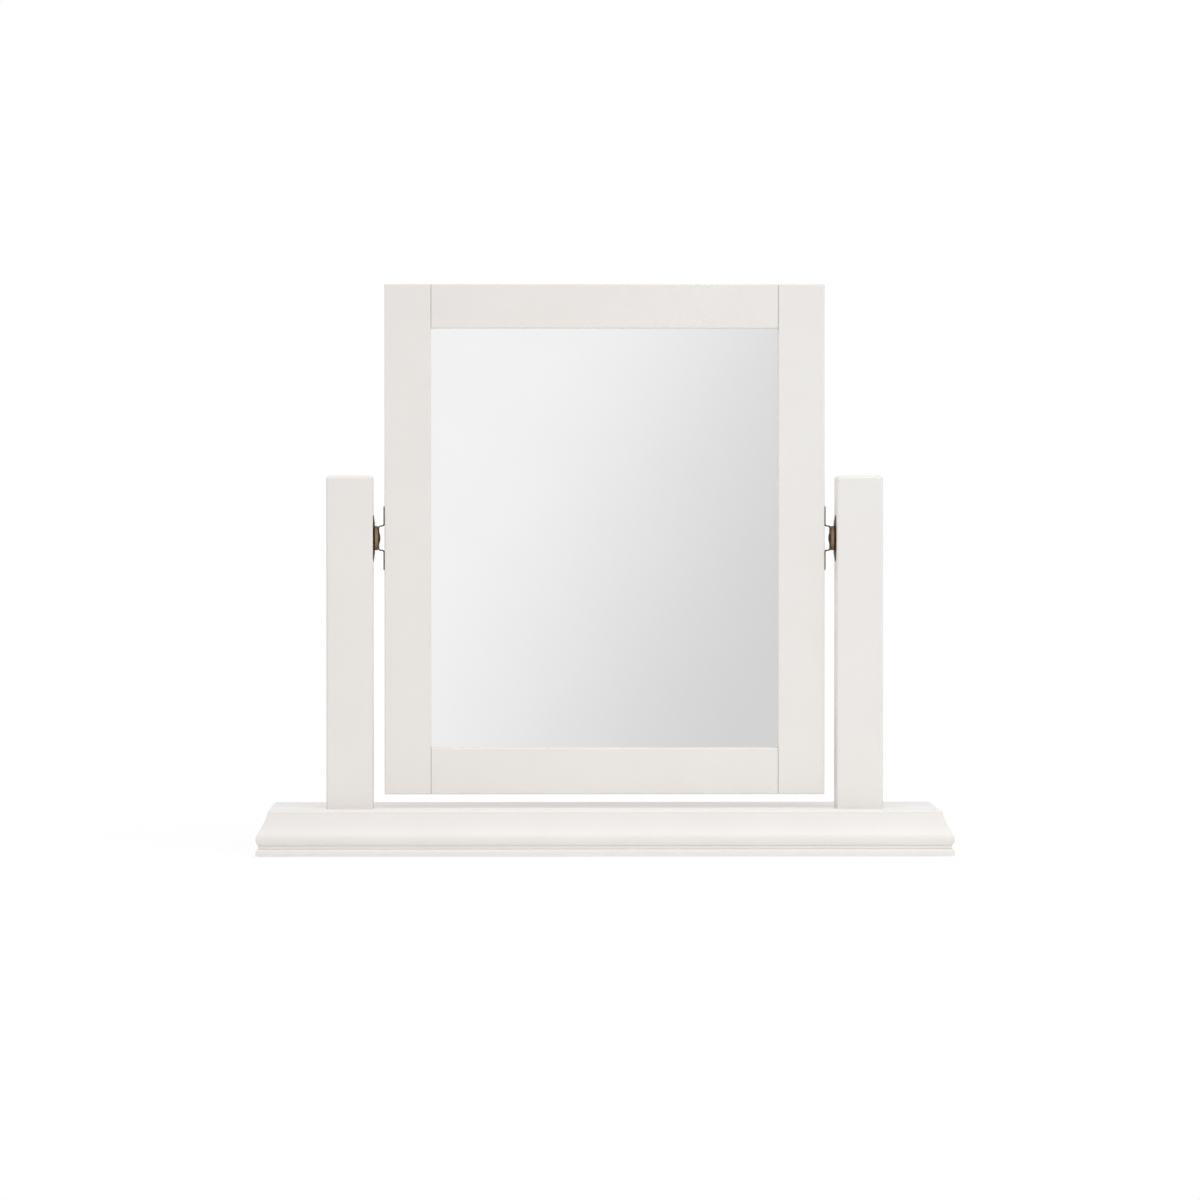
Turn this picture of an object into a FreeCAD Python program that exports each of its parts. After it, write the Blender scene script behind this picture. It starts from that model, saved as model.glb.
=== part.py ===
# Dressing-table mirror: a framed mirror that swings between two posts on a moulded base.
# Millimetres. +X is the viewer's right, -Y the front and +Z up. The origin lies on the table,
# under the middle of the base. Pieces on the right are drawn and the left ones are mirrored.
import FreeCAD, Part
import math
import os

Vector = FreeCAD.Vector

# Framed mirror
FRAME_WIDTH = 380.0
FRAME_HEIGHT = 440.5
FRAME_THICKNESS = 20.0
STILE_WIDTH = 40.0
TOP_RAIL_WIDTH = 38.0
BOTTOM_RAIL_WIDTH = 40.0
FRAME_ARRIS = 1.0            # rounding of the frame's edges
RAIL_END_EASE = 0.8          # rounding of a rail's ends, which leaves the joint line
GLASS_THICKNESS = 4.0
GLASS_EDGE_BEVEL = 0.5
GLASS_REBATE = 10.0          # how far the glass reaches behind the sight edge
GLASS_SLACK = 1.0            # room round the glass in its rebate
PANEL_THICKNESS = 4.0
PANEL_REBATE = 20.0          # how far the back panel reaches behind the sight edge
PANEL_SLACK = 0.6
PANEL_RECESS = 0.5           # back panel below the back of the frame
PANEL_EDGE_EASE = 0.4
GLASS_PLAY = 0.2             # room between the glass and the back panel
FRAME_DOWEL_RADIUS = 3.0
FRAME_DOWEL_LENGTH = 44.0
FRAME_DOWEL_SHARES = (0.26, 0.72)     # places of the dowels across a rail

# Posts
POST_WIDTH = 40.0
POST_DEPTH = 40.0
POST_ABOVE_PIVOT = 54.0
POST_ARRIS = 1.8             # rounding of a post's long edges
POST_TOP_ROUND = 3.2         # rounding of its top edges
POST_DOWEL_RADIUS = 4.0
POST_DOWEL_IN_POST = 18.0
POST_DOWEL_IN_BOARD = 13.0
POST_DOWEL_SPACING = 23.0

# Gaps that the mirror swings in
SIDE_GAP = 10.0              # between a post and the frame
BOTTOM_GAP = 11.8            # between the base and the frame
PIVOT_ABOVE_MIDDLE = 1.0     # pivot line above the middle of the frame

# Base
BASE_OVERHANG = 60.0         # base beyond the outer face of a post
BASE_FRONT_MARGIN = 28.0     # base in front of the posts
BASE_BACK_MARGIN = 74.0      # base behind the posts
FELT_THICKNESS = 1.0
FELT_RADIUS = 10.0
FELT_INSET = 24.0            # pad's centre from the edges of the base plate
PLATE_THICKNESS = 5.9
PLATE_ROUND = 3.2            # rounding of the base plate's upper edge
MOULDING_HEIGHT = 33.3
MOULDING_STOCK = 30.0        # moulding from its bead to its back
BEAD_RADIUS = 7.0
BEAD_HEIGHT = 8.0            # bead's centre above the underside of the moulding
BEAD_UPPER_TURN = 34.0       # degrees from level, where the bead runs into the cove
QUIRK_DEPTH = 2.7            # groove under the bead
FILLET_INSET = 2.2           # flat band under the groove, behind the bead
COVE_INSET = 9.8             # top of the cove behind the bead
COVE_SAG = 0.75
NOSE_RADIUS = 3.5
LEDGE_WIDTH = 10.0           # step in the moulding that carries the top board
TOP_BOARD_THICKNESS = 18.0
BOARD_BACK_EASE = 1.0
BACK_RAIL_THICKNESS = 18.0
CORNER_BLOCK_SIDE = 28.0
CORNER_BLOCK_DROP = 0.5      # corner block below the underside of the top board

# Pivot hinges, stacked from a post's inner face towards the frame
HINGE_PLATE_LENGTH = 40.0
HINGE_PLATE_WIDTH = 24.0
HINGE_PLATE_THICKNESS = 1.5
HINGE_PLATE_RIM = 0.5        # thickness at the outer edge of the plate's bevel
HINGE_PLATE_BEVEL = 6.0      # width of the bevel round the plate
HINGE_SCREW_SPACING = 29.5
HINGE_SCREW_SEAT = 1.0       # top of a screw's head from the post's face
DISC_RADIUS = 10.5
DISC_THICKNESS = 2.6
DISC_EASE = 0.3
RUNNING_GAP = 0.05           # between faces that slide on each other
STRAP_LENGTH = 55.0
STRAP_WIDTH = 16.0
STRAP_THICKNESS = 1.0
STRAP_HAT_HEIGHT = 22.0      # raised middle of the strap
STRAP_BEND = 1.5             # inner radius of its bends
STRAP_CORNER = 3.0
RIVET_RADIUS = 2.5
RIVET_HEAD_RADIUS = 5.5
RIVET_HEAD_HEIGHT = 1.1
RIVET_TAIL_RADIUS = 4.0
RIVET_TAIL_HEIGHT = 1.2
SPRING_RADIUS = 5.5
SPRING_THICKNESS = 0.6
SPRING_RISE = 0.8
RECESS_MARGIN = 1.0          # room round the rivet's tail in the post

# Screws
HINGE_SCREW_RADIUS = 1.5
HINGE_SCREW_LENGTH = 16.0
HINGE_SCREW_HEAD = 3.0
PANEL_SCREW_RADIUS = 1.5
PANEL_SCREW_LENGTH = 12.0
PANEL_SCREW_HEAD = 3.0
PANEL_SCREW_DOME = 1.8
POST_SCREW_RADIUS = 3.0
POST_SCREW_LENGTH = 60.0
POST_SCREW_HEAD = 6.0
PLATE_SCREW_RADIUS = 2.0
PLATE_SCREW_LENGTH = 20.0
PLATE_SCREW_HEAD = 4.0
FIT_CLEARANCE = 0.05         # round a screw, dowel or rivet in its hole
HOLE_END_ROOM = 1.0          # hole beyond the end of a screw or dowel
OVERRUN = 2.0                # how far a cut runs past the face that it opens
SAME_PLACE = 0.001

# Shares of the sizes that they follow
SCREW_CORE_SHARE = 0.72      # thread's root radius, of its outer radius
SCREW_PLAIN_SHARE = 0.3      # plain shank, of the length
SCREW_POINT_SHARE = 2.2      # point's length, of the radius
SCREW_PITCH_SHARE = 0.85     # pitch, of the radius
CROSS_WIDTH_SHARE = 0.26     # cross recess, of the head's radius
CROSS_REACH_SHARE = 0.62
CROSS_DEPTH_SHARE = 0.55
DOWEL_CHAMFER_SHARE = 0.22   # of the dowel's radius
FRONT_SCREW_SHARES = (-0.8, 0.0, 0.8)      # places along half of the base
SIDE_PANEL_SCREW_SHARES = (-0.82, 0.0, 0.82)
END_PANEL_SCREW_SHARES = (-0.55, 0.55)

# Places that follow from the sizes
BASE_DEPTH = BASE_FRONT_MARGIN + POST_DEPTH + BASE_BACK_MARGIN
BASE_FRONT = -BASE_DEPTH / 2
BASE_BACK = BASE_DEPTH / 2
PLATE_TOP = FELT_THICKNESS + PLATE_THICKNESS
BASE_TOP = PLATE_TOP + MOULDING_HEIGHT
BOARD_UNDERSIDE = BASE_TOP - TOP_BOARD_THICKNESS
BOARD_INSET = MOULDING_STOCK - LEDGE_WIDTH
FRAME_RIGHT = FRAME_WIDTH / 2
POST_INNER = FRAME_RIGHT + SIDE_GAP
POST_OUTER = POST_INNER + POST_WIDTH
POST_MIDDLE = POST_INNER + POST_WIDTH / 2
POST_FRONT = BASE_FRONT + BASE_FRONT_MARGIN
POST_BACK = POST_FRONT + POST_DEPTH
BASE_RIGHT = POST_OUTER + BASE_OVERHANG
PIVOT_Y = POST_FRONT + POST_DEPTH / 2
FRAME_BOTTOM = BASE_TOP + BOTTOM_GAP
FRAME_TOP = FRAME_BOTTOM + FRAME_HEIGHT
PIVOT_Z = FRAME_BOTTOM + FRAME_HEIGHT / 2 + PIVOT_ABOVE_MIDDLE
POST_TOP = PIVOT_Z + POST_ABOVE_PIVOT
FRAME_FRONT = PIVOT_Y - FRAME_THICKNESS / 2
FRAME_BACK = FRAME_FRONT + FRAME_THICKNESS
PANEL_BACK = FRAME_BACK - PANEL_RECESS
PANEL_FRONT = PANEL_BACK - PANEL_THICKNESS
GLASS_BACK = PANEL_FRONT - GLASS_PLAY
GLASS_FRONT = GLASS_BACK - GLASS_THICKNESS
SIGHT_RIGHT = FRAME_RIGHT - STILE_WIDTH
SIGHT_BOTTOM = FRAME_BOTTOM + BOTTOM_RAIL_WIDTH
SIGHT_TOP = FRAME_TOP - TOP_RAIL_WIDTH
STRAP_NEAR = HINGE_PLATE_THICKNESS + DISC_THICKNESS + RUNNING_GAP
STRAP_FAR = STRAP_NEAR + STRAP_THICKNESS
SPRING_DEPTH = SPRING_RISE + SPRING_THICKNESS
TAIL_TOP = SPRING_DEPTH + RUNNING_GAP
RECESS_DEPTH = TAIL_TOP + RIVET_TAIL_HEIGHT + RECESS_MARGIN


def block(low, high):
    """Box between two opposite corners."""
    size = high - low
    return Part.makeBox(size.x, size.y, size.z, low)


def rod(radius, start, end):
    """Round bar between two points."""
    along = end - start
    return Part.makeCylinder(radius, along.Length, start, along)


def prism(points, along):
    """Straight solid on a polygon."""
    return Part.Face(Part.makePolygon(points + points[:1])).extrude(along)


def outline(edges):
    """Face inside a closed run of edges, in order."""
    return Part.Face(Part.Wire([edge.toShape() for edge in edges]))


def eased(shape, radius, chosen):
    """Shape with the edges rounded that the test picks."""
    return shape.makeFillet(radius, [edge for edge in shape.Edges if chosen(edge)])


def runs_along(edge, axis):
    """True for a straight edge parallel to the axis."""
    start = edge.Vertexes[0].Point
    across = (edge.Vertexes[-1].Point - start).cross(axis)
    return across.Length < SAME_PLACE


def left_of(shape):
    """The left hand copy of a piece on the right."""
    return shape.mirror(Vector(0, 0, 0), Vector(1, 0, 0))


def both_sides(shapes):
    """One group of the right hand pieces and their left hand copies."""
    return Part.makeCompound(shapes + [left_of(shape) for shape in shapes])


def aimed(shape, head, direction):
    """A piece drawn with its head at the origin and pointing down, set in place."""
    turn = FreeCAD.Rotation(Vector(0, 0, -1), direction)
    shape.Placement = FreeCAD.Placement(head, turn)
    return shape


def screw_stem(radius, length, neck):
    """Half section of a screw below its neck: plain shank, ringed thread and point."""
    core = radius * SCREW_CORE_SHARE
    pitch = radius * SCREW_PITCH_SHARE
    point = radius * SCREW_POINT_SHARE
    start = max(neck, length * SCREW_PLAIN_SHARE)
    turns = int((length - point - start) / pitch)
    points = [Vector(radius, 0, -neck), Vector(radius, 0, -start)]
    for turn in range(turns):
        root = start + pitch * (turn + 1 / 2)
        points.append(Vector(core, 0, -root))
        points.append(Vector(radius, 0, -root - pitch / 2))
    points.append(Vector(core, 0, point - length))
    points.append(Vector(0, 0, -length))
    return points


def cross_recess(head, height):
    """Crossed slots that a screwdriver turns, cut down from the top of a head."""
    width = head * CROSS_WIDTH_SHARE / 2
    reach = head * CROSS_REACH_SHARE
    depth = height * CROSS_DEPTH_SHARE
    slot = block(Vector(-reach, -width, -depth), Vector(reach, width, OVERRUN))
    crossing = block(Vector(-width, -reach, -depth), Vector(width, reach, OVERRUN))
    return slot.fuse(crossing)


def flat_screw(radius, length, head):
    """Countersunk screw, head up at the origin, with a right-angled cone under the head."""
    neck = head - radius
    points = [Vector(0, 0, 0), Vector(head, 0, 0)] + screw_stem(radius, length, neck)
    body = Part.Face(Part.makePolygon(points + points[:1]))
    body = body.revolve(Vector(0, 0, 0), Vector(0, 0, 1), 360)
    return body.cut(cross_recess(head, neck))


def dome_screw(radius, length, head, dome):
    """Round-head screw, the flat under its head at the origin."""
    apex = Vector(0, 0, dome)
    rim = Vector(head, 0, 0)
    ball = (head * head + dome * dome) / (2 * dome)
    lean = math.asin(head / ball) / 2
    shoulder = Vector(ball * math.sin(lean), 0, dome - ball + ball * math.cos(lean))
    stem = screw_stem(radius, length, 0)
    edges = [Part.Arc(apex, shoulder, rim)]
    corners = [rim] + stem + [apex]
    edges += [Part.LineSegment(a, b) for a, b in zip(corners, corners[1:])]
    body = outline(edges).revolve(Vector(0, 0, 0), Vector(0, 0, 1), 360)
    recess = cross_recess(head, dome)
    recess.translate(Vector(0, 0, dome))
    return body.cut(recess)


def flat_screw_hole(radius, length, head, place, direction):
    """Room for a countersunk screw, a clearance larger all round."""
    wide = head + FIT_CLEARANCE
    narrow = radius + FIT_CLEARANCE
    cone = Part.makeCone(wide, narrow, wide - narrow, place, direction)
    return cone.fuse(Part.makeCylinder(narrow, length + HOLE_END_ROOM, place, direction))


def dowel(radius, start, end):
    """Round dowel with chamfered ends."""
    pin = rod(radius, start, end)
    return pin.makeChamfer(radius * DOWEL_CHAMFER_SHARE, [e for e in pin.Edges if len(e.Vertexes) == 1])


def dowel_hole(radius, start, end):
    """Room for a dowel, with a little glue room past both of its ends."""
    past = (end - start).normalize() * HOLE_END_ROOM
    return rod(radius + FIT_CLEARANCE, start - past, end + past)


def moulding_section(place):
    """Face of the moulding: fillet, quirk, bead, cove, nose, flat top, ledge and back.

    place turns a distance in from the bead and a height above the underside into a point.
    """
    turn = math.radians(BEAD_UPPER_TURN)
    quirk_rise = BEAD_HEIGHT - math.sqrt(QUIRK_DEPTH * (2 * BEAD_RADIUS - QUIRK_DEPTH))
    bead_in = BEAD_RADIUS - BEAD_RADIUS * math.cos(turn)
    bead_up = BEAD_HEIGHT + BEAD_RADIUS * math.sin(turn)
    nose_low = MOULDING_HEIGHT - NOSE_RADIUS
    run = COVE_INSET - bead_in
    rise = nose_low - bead_up
    slant = math.hypot(run, rise)
    sag_in = COVE_SAG * rise / slant
    sag_up = COVE_SAG * run / slant
    nose_lean = NOSE_RADIUS * math.cos(math.pi / 4)
    nose_in = COVE_INSET + NOSE_RADIUS
    foot = place(FILLET_INSET, 0)
    fillet = place(FILLET_INSET, quirk_rise)
    quirk = place(QUIRK_DEPTH, quirk_rise)
    bead_side = place(0, BEAD_HEIGHT)
    bead_top = place(bead_in, bead_up)
    cove_middle = place(bead_in + run / 2 + sag_in, bead_up + rise / 2 - sag_up)
    cove_top = place(COVE_INSET, nose_low)
    nose_middle = place(nose_in - nose_lean, nose_low + nose_lean)
    nose_top = place(nose_in, MOULDING_HEIGHT)
    rest = [
        nose_top,
        place(BOARD_INSET, MOULDING_HEIGHT),
        place(BOARD_INSET, MOULDING_HEIGHT - TOP_BOARD_THICKNESS),
        place(MOULDING_STOCK, MOULDING_HEIGHT - TOP_BOARD_THICKNESS),
        place(MOULDING_STOCK, 0),
        foot,
        fillet,
        quirk,
    ]
    edges = [
        Part.Arc(quirk, bead_side, bead_top),
        Part.Arc(bead_top, cove_middle, cove_top),
        Part.Arc(cove_top, nose_middle, nose_top),
    ]
    edges += [Part.LineSegment(a, b) for a, b in zip(rest, rest[1:])]
    return outline(edges)


def plate_screw_places():
    """Points on the underside of the base plate where its screws go in, front row and back row."""
    front = BASE_FRONT + BOARD_INSET - PLATE_SCREW_HEAD
    back = BASE_BACK - BACK_RAIL_THICKNESS / 2
    reach = BASE_RIGHT - MOULDING_STOCK
    rows = [(share * reach, y) for y in (front, back) for share in FRONT_SCREW_SHARES]
    return [Vector(x, y, FELT_THICKNESS) for x, y in rows]


def plate_screw_holes():
    """Rooms for all the base plate's screws."""
    sizes = (PLATE_SCREW_RADIUS, PLATE_SCREW_LENGTH, PLATE_SCREW_HEAD)
    return [flat_screw_hole(*sizes, place, Vector(0, 0, 1)) for place in plate_screw_places()]


def base_plate_screws():
    """Screws that hold the base plate to the moulding and the back rail."""
    sizes = (PLATE_SCREW_RADIUS, PLATE_SCREW_LENGTH, PLATE_SCREW_HEAD)
    places = plate_screw_places()
    return Part.makeCompound([aimed(flat_screw(*sizes), place, Vector(0, 0, 1)) for place in places])


def base_plate():
    """Plinth board with its upper edge rounded at the front and the sides."""
    low = Vector(-BASE_RIGHT, BASE_FRONT, FELT_THICKNESS)
    board = block(low, Vector(BASE_RIGHT, BASE_BACK, PLATE_TOP))

    def on_show(edge):
        box = edge.BoundBox
        at_back = box.YMin > BASE_BACK - SAME_PLACE
        return box.ZMin > PLATE_TOP - SAME_PLACE and not at_back

    return eased(board, PLATE_ROUND, on_show).cut(plate_screw_holes())


def felt_pads():
    """Four pads under the corners of the base plate."""
    across = BASE_RIGHT - FELT_INSET
    deep = BASE_DEPTH / 2 - FELT_INSET
    rise = Vector(0, 0, FELT_THICKNESS)
    corners = [Vector(x, y, 0) for x in (-across, across) for y in (-deep, deep)]
    return Part.makeCompound([rod(FELT_RADIUS, corner, corner + rise) for corner in corners])


def front_moulding():
    """Moulding along the front, mitred at both ends."""
    section = moulding_section(lambda inset, up: Vector(-BASE_RIGHT, BASE_FRONT + inset, PLATE_TOP + up))
    length = section.extrude(Vector(2 * BASE_RIGHT, 0, 0))
    inner = BASE_RIGHT - MOULDING_STOCK
    plan = [
        Vector(-BASE_RIGHT, BASE_FRONT, 0),
        Vector(BASE_RIGHT, BASE_FRONT, 0),
        Vector(inner, BASE_FRONT + MOULDING_STOCK, 0),
        Vector(-inner, BASE_FRONT + MOULDING_STOCK, 0),
    ]
    return length.common(prism(plan, Vector(0, 0, BASE_TOP))).cut(plate_screw_holes())


def side_moulding():
    """Moulding along the right side, mitred at the front and square at the back."""
    section = moulding_section(lambda inset, up: Vector(BASE_RIGHT - inset, BASE_FRONT, PLATE_TOP + up))
    length = section.extrude(Vector(0, BASE_DEPTH, 0))
    inner = BASE_RIGHT - MOULDING_STOCK
    plan = [
        Vector(BASE_RIGHT, BASE_FRONT, 0),
        Vector(BASE_RIGHT, BASE_BACK, 0),
        Vector(inner, BASE_BACK, 0),
        Vector(inner, BASE_FRONT + MOULDING_STOCK, 0),
    ]
    return length.common(prism(plan, Vector(0, 0, BASE_TOP)))


def back_rail():
    """Batten under the back edge of the top board."""
    reach = BASE_RIGHT - MOULDING_STOCK
    low = Vector(-reach, BASE_BACK - BACK_RAIL_THICKNESS, PLATE_TOP)
    return block(low, Vector(reach, BASE_BACK, BOARD_UNDERSIDE)).cut(plate_screw_holes())


def corner_blocks():
    """Four three-cornered glue blocks inside the base."""
    side = BASE_RIGHT - MOULDING_STOCK
    rise = Vector(0, 0, BOARD_UNDERSIDE - CORNER_BLOCK_DROP - PLATE_TOP)
    front = BASE_FRONT + MOULDING_STOCK
    back = BASE_BACK - BACK_RAIL_THICKNESS
    right = []
    for y, inward in ((front, 1), (back, -1)):
        corner = Vector(side, y, PLATE_TOP)
        points = [
            corner,
            corner + Vector(0, inward * CORNER_BLOCK_SIDE, 0),
            corner - Vector(CORNER_BLOCK_SIDE, 0, 0),
        ]
        right.append(prism(points, rise))
    return both_sides(right)


def post_dowel_ends():
    """Lower and upper ends of the two dowels in the right post's foot."""
    ends = []
    for side in (-1, 1):
        foot = Vector(POST_MIDDLE, PIVOT_Y + side * POST_DOWEL_SPACING / 2, BASE_TOP)
        ends.append((foot - Vector(0, 0, POST_DOWEL_IN_BOARD), foot + Vector(0, 0, POST_DOWEL_IN_POST)))
    return ends


def post_dowels():
    """Dowels between the posts and the top board."""
    return both_sides([dowel(POST_DOWEL_RADIUS, low, high) for low, high in post_dowel_ends()])


def post_screws():
    """Long screws from inside the base up into the posts."""
    head = Vector(POST_MIDDLE, PIVOT_Y, BOARD_UNDERSIDE)
    screw = flat_screw(POST_SCREW_RADIUS, POST_SCREW_LENGTH, POST_SCREW_HEAD)
    return both_sides([aimed(screw, head, Vector(0, 0, 1))])


def post_foot_holes():
    """Rooms for the right post's dowels and its screw, in the post and in the top board."""
    head = Vector(POST_MIDDLE, PIVOT_Y, BOARD_UNDERSIDE)
    sizes = (POST_SCREW_RADIUS, POST_SCREW_LENGTH, POST_SCREW_HEAD)
    holes = [dowel_hole(POST_DOWEL_RADIUS, low, high) for low, high in post_dowel_ends()]
    return holes + [flat_screw_hole(*sizes, head, Vector(0, 0, 1))]


def top_board():
    """Board that lies on the moulding's ledge, flush with its top and with the back."""
    across = BASE_RIGHT - BOARD_INSET
    low = Vector(-across, BASE_FRONT + BOARD_INSET, BOARD_UNDERSIDE)
    board = block(low, Vector(across, BASE_BACK, BASE_TOP))

    def at_back(edge):
        box = edge.BoundBox
        return box.ZMin > BASE_TOP - SAME_PLACE and box.YMin > BASE_BACK - SAME_PLACE

    posts = post_foot_holes()
    holes = posts + [left_of(hole) for hole in posts] + plate_screw_holes()
    return eased(board, BOARD_BACK_EASE, at_back).cut(holes)


def hinge_place(from_post, up):
    """Point on the right hinge, by its distance from the post's face and its height from the pivot."""
    return Vector(POST_INNER - from_post, PIVOT_Y, PIVOT_Z + up)


def hinge_turned(edges):
    """Solid turned about the right pivot from a half section."""
    return outline(edges).revolve(hinge_place(0, 0), Vector(1, 0, 0), 360)


def post_plate_screw_places():
    """Middles of the two screw heads that lie sunk in the right plate."""
    return [hinge_place(HINGE_SCREW_SEAT, side * HINGE_SCREW_SPACING / 2) for side in (-1, 1)]


def strap_screw_places():
    """Points on the right strap's two feet where their screws go in."""
    foot = (STRAP_LENGTH + STRAP_HAT_HEIGHT + STRAP_BEND) / 4
    return [hinge_place(SIDE_GAP - STRAP_THICKNESS, side * foot) for side in (-1, 1)]


def hinge_screws(places, direction):
    """Countersunk hinge screws on both sides."""
    sizes = (HINGE_SCREW_RADIUS, HINGE_SCREW_LENGTH, HINGE_SCREW_HEAD)
    return both_sides([aimed(flat_screw(*sizes), place, direction) for place in places])


def hinge_screw_holes(places, direction):
    """Rooms for the right hinge's screws."""
    sizes = (HINGE_SCREW_RADIUS, HINGE_SCREW_LENGTH, HINGE_SCREW_HEAD)
    return [flat_screw_hole(*sizes, place, direction) for place in places]


def post():
    """Right post: square, its long edges a little rounded and its top edges more."""
    low = Vector(POST_INNER, POST_FRONT, BASE_TOP)
    whole = block(low, Vector(POST_OUTER, POST_BACK, POST_TOP))
    crown = eased(whole, POST_TOP_ROUND, lambda edge: edge.BoundBox.ZMin > POST_TOP - SAME_PLACE)
    body = eased(whole, POST_ARRIS, lambda edge: runs_along(edge, Vector(0, 0, 1))).common(crown)
    recess = rod(SPRING_RADIUS + RECESS_MARGIN, hinge_place(OVERRUN, 0), hinge_place(-RECESS_DEPTH, 0))
    screws = hinge_screw_holes(post_plate_screw_places(), Vector(1, 0, 0))
    return body.cut(post_foot_holes() + [recess] + screws)


def plate_outline(from_post, inset):
    """Round-ended outline of the right plate at a distance from the post, drawn in by an inset."""
    half = HINGE_PLATE_WIDTH / 2 - inset
    straight = (HINGE_PLATE_LENGTH - HINGE_PLATE_WIDTH) / 2
    side = Vector(0, half, 0)
    top = hinge_place(from_post, straight)
    bottom = hinge_place(from_post, -straight)
    edges = [
        Part.LineSegment(bottom + side, top + side),
        Part.Arc(top + side, hinge_place(from_post, straight + half), top - side),
        Part.LineSegment(top - side, bottom - side),
        Part.Arc(bottom - side, hinge_place(from_post, -straight - half), bottom + side),
    ]
    return Part.Wire([edge.toShape() for edge in edges])


def post_plate():
    """Round-ended hinge plate on the right post, with a wide bevel and sunk screws."""
    outlines = [
        plate_outline(0, 0),
        plate_outline(HINGE_PLATE_RIM, 0),
        plate_outline(HINGE_PLATE_THICKNESS, HINGE_PLATE_BEVEL),
    ]
    plate = Part.makeLoft(outlines, True, True)
    bore = rod(RIVET_RADIUS + FIT_CLEARANCE, hinge_place(-OVERRUN, 0), hinge_place(STRAP_FAR, 0))
    places = post_plate_screw_places()
    over = Vector(-OVERRUN, 0, 0)
    heads = [rod(HINGE_SCREW_HEAD + FIT_CLEARANCE, place, place + over) for place in places]
    return plate.cut([bore] + heads + hinge_screw_holes(places, Vector(1, 0, 0)))


def friction_disc():
    """Disc between the right plate and the right strap."""
    near = hinge_place(HINGE_PLATE_THICKNESS, 0)
    far = hinge_place(HINGE_PLATE_THICKNESS + DISC_THICKNESS, 0)
    disc = eased(rod(DISC_RADIUS, near, far), DISC_EASE, lambda edge: len(edge.Vertexes) == 1)
    return disc.cut(rod(RIVET_RADIUS + FIT_CLEARANCE, hinge_place(-OVERRUN, 0), hinge_place(STRAP_FAR, 0)))


def spring_washer():
    """Conical washer behind the right plate, in the post's recess."""
    bore = RIVET_RADIUS + FIT_CLEARANCE
    corners = [
        hinge_place(0, SPRING_RADIUS),
        hinge_place(-SPRING_THICKNESS, SPRING_RADIUS),
        hinge_place(-SPRING_DEPTH, bore),
        hinge_place(-SPRING_RISE, bore),
    ]
    return hinge_turned([Part.LineSegment(a, b) for a, b in zip(corners, corners[1:] + corners[:1])])


def pivot_rivet():
    """Domed rivet that joins the right strap to the right plate."""
    tail_end = -TAIL_TOP - RIVET_TAIL_HEIGHT
    apex = hinge_place(STRAP_FAR + RIVET_HEAD_HEIGHT, 0)
    ball = (RIVET_HEAD_RADIUS ** 2 + RIVET_HEAD_HEIGHT ** 2) / (2 * RIVET_HEAD_HEIGHT)
    lean = math.asin(RIVET_HEAD_RADIUS / ball) / 2
    drop = ball - ball * math.cos(lean)
    shoulder = hinge_place(STRAP_FAR + RIVET_HEAD_HEIGHT - drop, ball * math.sin(lean))
    corners = [
        apex,
        hinge_place(tail_end, 0),
        hinge_place(tail_end, RIVET_TAIL_RADIUS),
        hinge_place(-TAIL_TOP, RIVET_TAIL_RADIUS),
        hinge_place(-TAIL_TOP, RIVET_RADIUS),
        hinge_place(STRAP_FAR, RIVET_RADIUS),
        hinge_place(STRAP_FAR, RIVET_HEAD_RADIUS),
    ]
    edges = [Part.LineSegment(a, b) for a, b in zip(corners, corners[1:])]
    return hinge_turned(edges + [Part.Arc(corners[-1], shoulder, apex)])


def frame_strap():
    """Hat-shaped strap on the right edge of the frame, with bent corners and rounded feet."""
    tip = STRAP_LENGTH / 2
    hat = STRAP_HAT_HEIGHT / 2
    foot = SIDE_GAP - STRAP_THICKNESS
    inside = hat - STRAP_THICKNESS
    half = [(SIDE_GAP, tip), (SIDE_GAP, inside), (STRAP_FAR, inside)]
    outer_half = [(foot, tip), (foot, hat), (STRAP_NEAR, hat)]
    inner_side = half + [(x, -z) for x, z in reversed(half)]
    outer_side = outer_half + [(x, -z) for x, z in reversed(outer_half)]
    shift = Vector(0, STRAP_WIDTH / 2, 0)
    points = [hinge_place(x, z) - shift for x, z in inner_side + outer_side[::-1]]
    strap = prism(points, shift * 2)

    def bend(edge, radius_at):
        spot = edge.Vertexes[0].Point
        corner = (POST_INNER - spot.x, abs(spot.z - PIVOT_Z))
        near = [math.dist(corner, place) < SAME_PLACE for place in radius_at]
        return runs_along(edge, Vector(0, 1, 0)) and any(near)

    inner_bends = [(foot, hat), (STRAP_FAR, inside)]
    outer_bends = [(SIDE_GAP, inside), (STRAP_NEAR, hat)]
    strap = eased(strap, STRAP_BEND, lambda edge: bend(edge, inner_bends))
    strap = eased(strap, STRAP_BEND + STRAP_THICKNESS, lambda edge: bend(edge, outer_bends))

    def foot_corner(edge):
        at_tip = abs(edge.Vertexes[0].Point.z - PIVOT_Z) > tip - SAME_PLACE
        return runs_along(edge, Vector(1, 0, 0)) and at_tip

    strap = eased(strap, STRAP_CORNER, foot_corner)
    bore = rod(RIVET_RADIUS + FIT_CLEARANCE, hinge_place(0, 0), hinge_place(SIDE_GAP, 0))
    return strap.cut([bore] + hinge_screw_holes(strap_screw_places(), Vector(-1, 0, 0)))


def frame_rebates():
    """Rooms behind the sight edge for the glass and for the back panel."""
    rooms = []
    for reach, front in ((GLASS_REBATE, GLASS_FRONT), (PANEL_REBATE, PANEL_FRONT)):
        low = Vector(-SIGHT_RIGHT - reach, front, SIGHT_BOTTOM - reach)
        high = Vector(SIGHT_RIGHT + reach, FRAME_BACK + OVERRUN, SIGHT_TOP + reach)
        rooms.append(block(low, high))
    return rooms


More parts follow.
